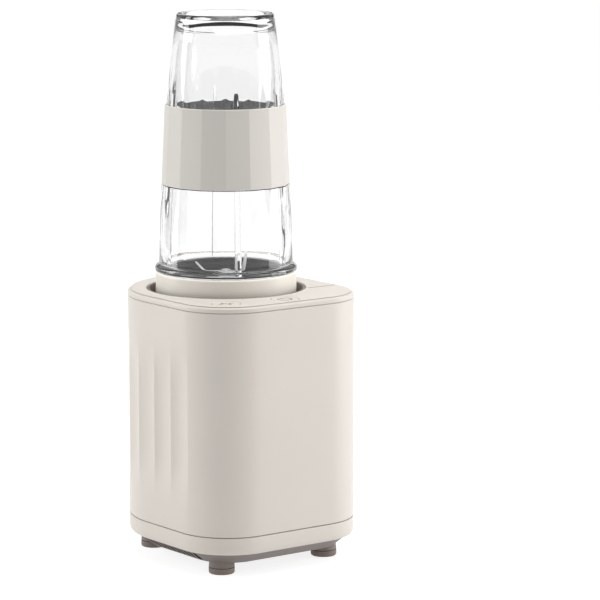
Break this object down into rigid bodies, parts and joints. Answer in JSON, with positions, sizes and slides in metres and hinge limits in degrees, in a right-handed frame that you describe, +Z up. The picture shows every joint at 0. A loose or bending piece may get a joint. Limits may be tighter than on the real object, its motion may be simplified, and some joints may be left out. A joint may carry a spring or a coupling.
{
  "type": "countertop blender",
  "caption": "Personal blender: a D-shaped fluted motor base with a twist-lock well, and an inverted clear faceted cup with a grip sleeve on its blade base.",
  "frame": {"origin": "middle of the footprint, on the surface that the blender stands on", "axes": "+Z up, the flat front with the two buttons faces -Y, +X to the right seen from the front"},
  "size_m": [0.128, 0.141, 0.3533],
  "materials": {
    "cream_plastic": "satin, warm off-white",
    "taupe_plastic": "matte taupe",
    "taupe_rubber": "matte taupe",
    "clear_plastic": "clear, glossy",
    "dark_plate": "dark with fine turned rings",
    "silicone": "matte",
    "steel": "bright",
    "copper": "bare",
    "black_plastic": "matte",
    "circuit_board": "solder mask"
  },
  "bodies": {
    "base": {"body_shell": "cream_plastic", "skirt": "cream_plastic", "base_plate": "taupe_plastic", "foot_front_left": "taupe_rubber", "foot_front_right": "taupe_rubber", "foot_rear_left": "taupe_rubber", "foot_rear_right": "taupe_rubber", "plate_screw_front_left": "steel", "plate_screw_front_right": "steel", "plate_screw_rear_left": "steel", "plate_screw_rear_right": "steel", "cord_gland": "taupe_rubber", "deck": "cream_plastic", "well_liner": "taupe_plastic", "power_switch": "black_plastic", "pulse_switch": "black_plastic", "control_board": "circuit_board", "interlock_bracket": "steel", "interlock_switch": "black_plastic", "interlock_spring": "steel", "motor_top_bracket": "steel", "motor_bottom_bracket": "steel", "motor_top_bearing": "steel", "motor_bottom_bearing": "steel", "motor_screw_left": "steel", "motor_screw_right": "steel", "stator_stack": "steel", "upper_winding": "copper", "lower_winding": "copper", "brush_front": "black_plastic", "brush_rear": "black_plastic"},
    "power_button": {"power_button": "cream_plastic"},
    "pulse_button": {"pulse_button": "cream_plastic"},
    "motor_rotor": {"motor_shaft": "steel", "armature": "steel", "commutator": "copper", "cooling_fan": "black_plastic", "drive_coupling": "black_plastic"},
    "lock_ring": {"lock_ring": "taupe_plastic"},
    "interlock_plunger": {"interlock_plunger": "black_plastic"},
    "blade_base": {"collar": "cream_plastic", "blade_plate": "dark_plate", "cup_seal": "silicone", "shaft_bush": "steel", "bush_nut": "steel"},
    "blades": {"blade_shaft": "steel", "blade_washer": "steel", "lower_blade": "steel", "upper_blade": "steel", "blade_nut": "steel", "driven_coupling": "black_plastic"},
    "cup": {"cup": "clear_plastic", "sleeve": "cream_plastic"}
  },
  "joints": [
    {"name": "power_press", "type": "slide", "parent": "base", "child": "power_button", "axis": [0, 0, -1], "range_m": [0, 0.001], "stiffness_N_per_m": 600},
    {"name": "pulse_press", "type": "slide", "parent": "base", "child": "pulse_button", "axis": [0, 0, -1], "range_m": [0, 0.001], "stiffness_N_per_m": 600},
    {"name": "motor_spin", "type": "hinge", "parent": "base", "child": "motor_rotor", "pos_m": [0, 0.0065, 0.1], "axis": [0, 0, 1], "continuous": true},
    {"name": "lock_turn", "type": "hinge", "parent": "base", "child": "lock_ring", "pos_m": [0, 0.0065, 0.155], "axis": [0, 0, 1], "range_deg": [0, 40]},
    {"name": "interlock_rise", "type": "slide", "parent": "base", "child": "interlock_plunger", "axis": [0, 0, 1], "range_m": [0, 0.003], "deforming": ["interlock_spring"]},
    {"name": "blade_base_lift", "type": "slide", "parent": "lock_ring", "child": "blade_base", "axis": [0, 0, 1], "range_m": [0, 0.08]},
    {"name": "blades_lift", "type": "slide", "parent": "motor_rotor", "child": "blades", "axis": [0, 0, 1], "range_m": [0, 0.08]},
    {"name": "cup_lift", "type": "slide", "parent": "blade_base", "child": "cup", "axis": [0, 0, 1], "range_m": [0, 0.08]}
  ],
  "couplings": [
    {"joint": "blades_lift", "follows": "blade_base_lift", "ratio": 1},
    {"joint": "interlock_rise", "follows": "lock_turn", "m_per_rad": 0.0042971}
  ]
}
